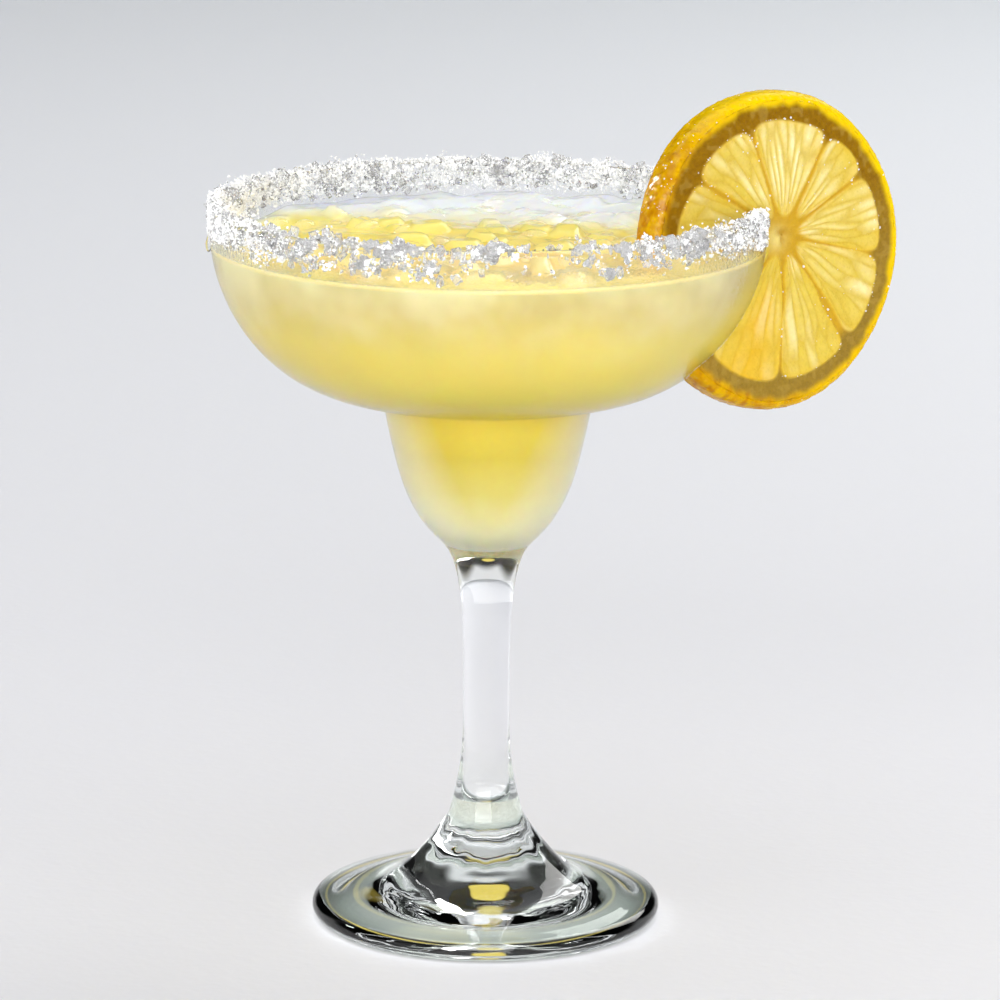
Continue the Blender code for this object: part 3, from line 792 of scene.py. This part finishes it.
def wheel_material():
    t = Tree("lemon_flesh")
    place = t.place()
    paint = t.attribute("paint")
    kind = t.attribute("flesh")
    peel = t.attribute("peel")
    speck = t.noise(place, 900.0, 2.0)
    tone = t.ramp(speck, [(0.3, (0.83, 0.80, 0.74)), (0.7, (0.90, 0.88, 0.87))])
    t.feed(t.mix(1.0, paint.outputs["Color"], tone, "MULTIPLY"), "Base Color")
    t.feed(t.span(kind.outputs["Fac"], 0.0, 1.0, 0.42, 0.13), "Roughness")
    t.set(IOR=1.4, Specular_IOR_Level=0.12, Subsurface_Weight=0.4, Subsurface_Scale=0.003)
    t.shader.inputs["Subsurface Radius"].default_value = (1.0, 0.7, 0.15)
    t.feed(t.attribute("gloss").outputs["Fac"], "Coat Weight")
    t.set(Coat_Roughness=0.06, Coat_IOR=1.5)
    pores = t.span(t.cells(place, 900.0), 0.0, 0.45, 0.0, 1.8)
    wet = t.span(t.cells(place, 1500.0), 0.0, 0.6, 1.0, 0.0)
    wet = t.math("MULTIPLY", wet, t.noise(place, 260.0, 2.0))
    t.bump(t.mix(peel.outputs["Fac"], wet, pores), 0.35, 0.0005)
    return t.mat


def make_wheel():
    sides = 640
    angles = np.linspace(-np.pi, np.pi, sides, endpoint=False)
    outline = wheel_radius(angles)
    front_r, back_r = outline - 2.0, outline - 1.5
    front_rings = np.concatenate((np.linspace(0.012, 0.86, 96), np.linspace(0.87, 1.0, 14)))
    back_rings = np.concatenate((np.linspace(0.02, 0.86, 44), np.linspace(0.88, 1.0, 8)))[::-1]
    fd, fr, fc, ff, fdepth = wheel_face(angles, front_rings, front_r, 50)
    bd, br, bc, bf, bdepth = wheel_face(angles, back_rings, back_r, 90)
    points, paint, flesh, peel, gloss = [], [], [], [], []

    def add(dist, depth, colour, wet, skin, coat=0.0):
        across, up = CORE[0] + dist * np.cos(angles), CORE[1] + dist * np.sin(angles)
        points.append(np.column_stack((across, np.broadcast_to(depth, angles.shape), up)))
        paint.append(colour)
        flesh.append(wet)
        peel.append(np.full(sides, skin))
        gloss.append(np.broadcast_to(coat, angles.shape))

    for i in range(len(front_rings)):
        add(fd[i], fr[i], fc[i], ff[i], 0.0)
    # The peel curves from the front face over the side to the back.
    rise, fall = np.linspace(0.12, math.pi / 2, 11), np.linspace(0.2, 1.45, 7)
    side = [(2.0 * (1.0 - math.sin(a)), 2.6 * (1.0 - math.cos(a))) for a in rise]
    side += [(0.0, d) for d in np.linspace(2.9, WHEEL_T - 1.6, 7)]
    side += [(1.5 * (1.0 - math.cos(a)), WHEEL_T - 1.6 + 1.5 * math.sin(a)) for a in fall]
    for inset, depth in side:
        arcs = angles * 31.0
        pit = 0.07 * value_noise(arcs / 1.1, depth / 1.1, seed=61)
        pit = pit + 0.05 * value_noise(arcs / 0.55, depth / 0.6, seed=62)
        dist = reach_from_core(angles, outline - 0.25 - inset + pit)
        place = np.arctan2(CORE[1] + dist * np.sin(angles), CORE[0] + dist * np.cos(angles))
        wet = smooth(value_noise(place * 11.0, depth * 1.1, seed=70), -0.15, 0.3)
        wet = wet * np.exp(-((place - 2.4) / 0.45) ** 2)
        add(dist, depth + 0.12, peel_colour(place, depth), np.full(sides, 0.7), 1.0, wet)
    for i in range(len(back_rings)):
        add(bd[i], WHEEL_T - br[i], bc[i], bf[i], 0.0)
    rows = len(points)
    middle = np.array([[CORE[0], 0.7, CORE[1]], [CORE[0], WHEEL_T - 0.7, CORE[1]]])
    verts = np.concatenate(points + [middle])
    pose = np.array(WHEEL_POSE)
    verts = verts @ pose[:3, :3].T + pose[:3, 3] / MM
    k = np.arange(sides)
    nxt = (k + 1) % sides
    faces = []
    for i in range(rows - 1):
        a, b = i * sides, (i + 1) * sides
        faces += [(a + p, a + q, b + q, b + p) for p, q in zip(k, nxt)]
    last = (rows - 1) * sides
    faces += [(q, p, rows * sides) for p, q in zip(k, nxt)]
    faces += [(last + p, last + q, rows * sides + 1) for p, q in zip(k, nxt)]
    ob = make_piece("lemon_slice", verts, faces, wheel_material())
    mesh = ob.data
    colours = np.concatenate(paint + [np.tile(tint(170, 130, 30), (2, 1))])
    colours = np.column_stack((colours, np.ones(len(colours)))).astype(np.float32)
    mesh.attributes.new("paint", "FLOAT_COLOR", "POINT").data.foreach_set("color", colours.ravel())
    for name, rows_of in (("flesh", flesh), ("peel", peel), ("gloss", gloss)):
        values = np.concatenate(rows_of + [np.zeros(2)]).astype(np.float32)
        mesh.attributes.new(name, "FLOAT", "POINT").data.foreach_set("value", values)
    slit_wheel(ob)
    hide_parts("lemon_wheel")
    juice_beads(verts, fdepth, fd, bdepth, bd, angles, len(side))


def juice_beads(verts, front_depth, front_dist, back_depth, back_dist, angles, side_rows):
    """Wet beads along the borders of the segments on both faces, on the flesh and on the peel, whitish for
    painted glints.
    """
    rng = np.random.default_rng(77)
    sides = len(angles)
    front_count, back_start = front_depth.size, front_depth.size + side_rows * sides
    spots, sizes = [], []

    def pick(weights, start, count, low, high):
        weights = weights.ravel()
        chosen = rng.choice(len(weights), size=count, replace=False, p=weights / weights.sum())
        spots.append(verts[start + chosen])
        sizes.append(low + (high - low) * rng.uniform(size=count) ** 2)

    for depth, dist, start in ((front_depth, front_dist, 0), (back_depth, back_dist, back_start)):
        rim = np.exp(-((depth - 0.15) / 0.3) ** 2) * dist * (0.08 + smooth(dist, 14.0, 21.0))
        pick(rim, start, 150, 0.20, 0.70)
        pick((depth > 1.0) * dist, start, 70, 0.2, 0.4)
    skin = np.ones((side_rows - 4, 1)) * (0.12 + np.exp(-((angles - 2.75) / 0.45) ** 2))
    pick(skin, front_count, 110, 0.2, 0.5)
    spots, sizes = np.concatenate(spots), np.concatenate(sizes)
    away = np.hypot(spots[:, 0], spots[:, 1])
    keep = (away > RIM_R + 0.6) | (spots[:, 2] > RIM_Z + 1.0)
    make_beads(rng, spots[keep], sizes[keep])


def slit_wheel(ob):
    # The slit follows the wall of the bowl.
    loop = inner_outline(4)[50:] + outer_outline(4)[:56]
    p = shifted(loop, -WHEEL_OVERLAP)
    sides = 240
    turn = np.linspace(0.0, 2.0 * np.pi, sides, endpoint=False)
    verts = np.concatenate([
        np.column_stack((r * np.cos(turn), r * np.sin(turn), np.full(sides, z))) for r, z in p])
    faces = []
    for i in range(len(p)):
        a, b = i * sides, ((i + 1) % len(p)) * sides
        faces += [(a + k, a + (k + 1) % sides, b + (k + 1) % sides, b + k) for k in range(sides)]
    mesh = bpy.data.meshes.new("slit_tool")
    mesh.from_pydata((verts * MM).tolist(), [], [f[::-1] for f in faces])
    mesh.update()
    tool = bpy.data.objects.new("slit_tool", mesh)
    scene.collection.objects.link(tool)
    mod = ob.modifiers.new("slit", "BOOLEAN")
    mod.operation = "DIFFERENCE"
    mod.solver = "MANIFOLD"
    mod.object = tool
    bpy.context.view_layer.update()
    graph = bpy.context.evaluated_depsgraph_get()
    cut = bpy.data.meshes.new_from_object(ob.evaluated_get(graph))
    ob.modifiers.clear()
    ob.data = cut
    bpy.data.objects.remove(tool, do_unlink=True)


# Floor and light
def make_floor():
    t = Tree("floor_pale")
    place = t.place()
    axes = t.axes()
    # The floor's tone paints the fall of the light: darker on the left than on the right, and bluer further
    # back.
    wide = t.span(axes["X"], -0.35, 0.35)
    far = t.span(axes["Y"], 0.1, 1.5)
    near = t.mix(wide, (0.74, 0.74, 0.785), (0.80, 0.80, 0.84))
    tone = t.mix(far, near, t.mix(wide, (0.73, 0.755, 0.815), (0.805, 0.84, 0.895)))
    # Under the foot the floor is shaded, most at the foot's edge.
    reach = t.node("ShaderNodeVectorMath", operation="LENGTH")
    t.link(place, reach.inputs[0])
    under = t.ramp(t.span(reach.outputs["Value"], 0.0, 0.035), [
        (0.0, linear(190, 189, 176)), (0.45, linear(200, 204, 198)), (0.66, linear(170, 176, 172)),
        (0.80, linear(142, 150, 146)), (0.92, linear(72, 80, 76))])
    t.feed(t.mix(t.span(reach.outputs["Value"], 0.0315, 0.0345), under, tone), "Base Color")
    t.set(Roughness=0.6)
    t.bump(t.noise(place, 420.0, 1.0), 0.15, 0.0008)
    # A flat disc, in metres, a hair below the foot
    radii, below, sides = (0.4, 1.0, 2.0, 3.0, 4.0), -0.0001, 96
    turn = np.linspace(0.0, 2.0 * np.pi, sides, endpoint=False)
    verts = [np.array([[0.0, 0.0, below]])]
    for r in radii:
        verts.append(np.column_stack((r * np.cos(turn), r * np.sin(turn), np.full(sides, below))))
    verts = np.concatenate(verts)
    faces = [(0, 1 + k, 1 + (k + 1) % sides) for k in range(sides)]
    for i in range(len(radii) - 1):
        a, b = 1 + i * sides, 1 + (i + 1) * sides
        faces += [(a + k, b + k, b + (k + 1) % sides, a + (k + 1) % sides) for k in range(sides)]
    mesh = bpy.data.meshes.new("floor")
    mesh.from_pydata(verts.tolist(), [], faces)
    for polygon in mesh.polygons:
        polygon.use_smooth = True
    mesh.materials.append(t.mat)
    ob = bpy.data.objects.new("floor", mesh)
    scene.collection.objects.link(ob)


def area_light(name, place, aim, size, power, colour=(1.0, 1.0, 1.0)):
    data = bpy.data.lights.new(name, "AREA")
    data.shape = "RECTANGLE"
    data.size, data.size_y = size
    data.energy = power
    data.color = colour
    ob = bpy.data.objects.new(name, data)
    scene.collection.objects.link(ob)
    ob.location = place
    ob.rotation_euler = (Vector(aim) - Vector(place)).to_track_quat("-Z", "Y").to_euler()
    return ob


# Brightness of the room by the height of a direction, and patches round a direction: inner and outer
# angle, and colour. The dark ones and the small yellow ones show in the thick glass of the foot.
SKY = ((0.0, 0.80), (0.26, 0.82), (0.40, 0.36), (0.62, 0.26), (0.80, 0.75), (1.0, 0.9))
DARK, GLOW, PALE_GLOW = (0.01, 0.01, 0.01), (0.88, 0.70, 0.14), (0.78, 0.68, 0.25)
PATCHES = (((0.0, 1.0, 0.50), 15.0, 24.0, DARK), ((-0.62, 1.0, 0.50), 15.0, 26.0, DARK),
           ((0.62, 1.0, 0.50), 15.0, 26.0, DARK), ((-1.0, 0.1, 0.50), 16.0, 30.0, DARK),
           ((1.0, 0.1, 0.50), 16.0, 30.0, DARK), ((-0.03, 1.0, 0.42), 6.0, 7.5, GLOW),
           ((-0.1, 1.0, 1.15), 7.0, 11.0, PALE_GLOW))


def make_world():
    world = bpy.data.worlds.new("studio")
    world.use_nodes = True
    tree = world.node_tree
    shade = tree.nodes["Background"]
    coord = tree.nodes.new("ShaderNodeTexCoord")
    split = tree.nodes.new("ShaderNodeSeparateXYZ")
    ramp = tree.nodes.new("ShaderNodeValToRGB")
    tree.links.new(coord.outputs["Generated"], split.inputs["Vector"])
    tree.links.new(split.outputs["Z"], ramp.inputs["Fac"])
    while len(ramp.color_ramp.elements) < len(SKY):
        ramp.color_ramp.elements.new(0.5)
    for element, (at, value) in zip(ramp.color_ramp.elements, SKY):
        element.position = at
        element.color = (value * 0.97, value * 0.985, value, 1.0)
    colour = ramp.outputs["Color"]
    for axis, inner, outer, paint in PATCHES:
        dot = tree.nodes.new("ShaderNodeVectorMath")
        dot.operation = "DOT_PRODUCT"
        dot.inputs[1].default_value = Vector(axis).normalized()
        tree.links.new(coord.outputs["Generated"], dot.inputs[0])
        reach = tree.nodes.new("ShaderNodeMapRange")
        reach.interpolation_type = "SMOOTHSTEP"
        reach.inputs["From Min"].default_value = math.cos(math.radians(outer))
        reach.inputs["From Max"].default_value = math.cos(math.radians(inner))
        tree.links.new(dot.outputs["Value"], reach.inputs["Value"])
        mix = tree.nodes.new("ShaderNodeMix")
        mix.data_type = "RGBA"
        mix.inputs[7].default_value = (*paint, 1.0)
        tree.links.new(reach.outputs["Result"], mix.inputs[0])
        tree.links.new(colour, mix.inputs[6])
        colour = mix.outputs[2]
    tree.links.new(colour, shade.inputs["Color"])
    world.cycles.sampling_method = "NONE"
    scene.world = world


def make_light():
    make_world()
    area_light("key_back", (0.9, 1.1, 1.2), (0.0, 0.0, 0.1), (1.0, 1.0), 13.0, (1.0, 0.99, 0.97))
    area_light("left_back", (-1.5, 0.55, 0.85), (0.0, 0.0, 0.12), (0.22, 0.22), 5.0, (0.98, 0.99, 1.0))
    area_light("right_front", (1.5, -0.9, 0.9), (0.0, 0.0, 0.12), (0.18, 0.18), 5.0)
    area_light("front_soft", (-0.3, -2.1, 0.9), (0.0, 0.0, 0.1), (2.2, 1.2), 31.0)
    # Soft lamps for the sides of the bowl and for its underside; the glass doesn't mirror them.
    for name, place, size, power in (("left_soft", (-1.5, -0.7, 0.32), (0.9, 0.5), 5.0),
                                     ("right_soft", (1.5, -0.7, 0.32), (0.9, 0.5), 5.0),
                                     ("front_low", (0.0, -1.7, 0.14), (1.8, 0.24), 3.0)):
        lamp = area_light(name, place, (0.0, 0.0, 0.11), size, power)
        lamp.visible_glossy = lamp.visible_transmission = False


def tune_render():
    scene.view_settings.view_transform = "Standard"
    scene.view_settings.look = "None"
    scene.cycles.use_denoising = True
    scene.cycles.use_adaptive_sampling = True
    scene.cycles.adaptive_threshold = 0.2
    scene.cycles.max_bounces = 10
    scene.cycles.transmission_bounces = 10
    scene.cycles.glossy_bounces = 5
    scene.cycles.diffuse_bounces = 3
    scene.cycles.caustics_reflective = False
    scene.cycles.caustics_refractive = True
    scene.cycles.sample_clamp_indirect = 6.0


place_camera()
make_glass()
make_drink()
make_ice()
make_salt()
make_wheel()
make_drop()
make_floor()
make_light()
tune_render()
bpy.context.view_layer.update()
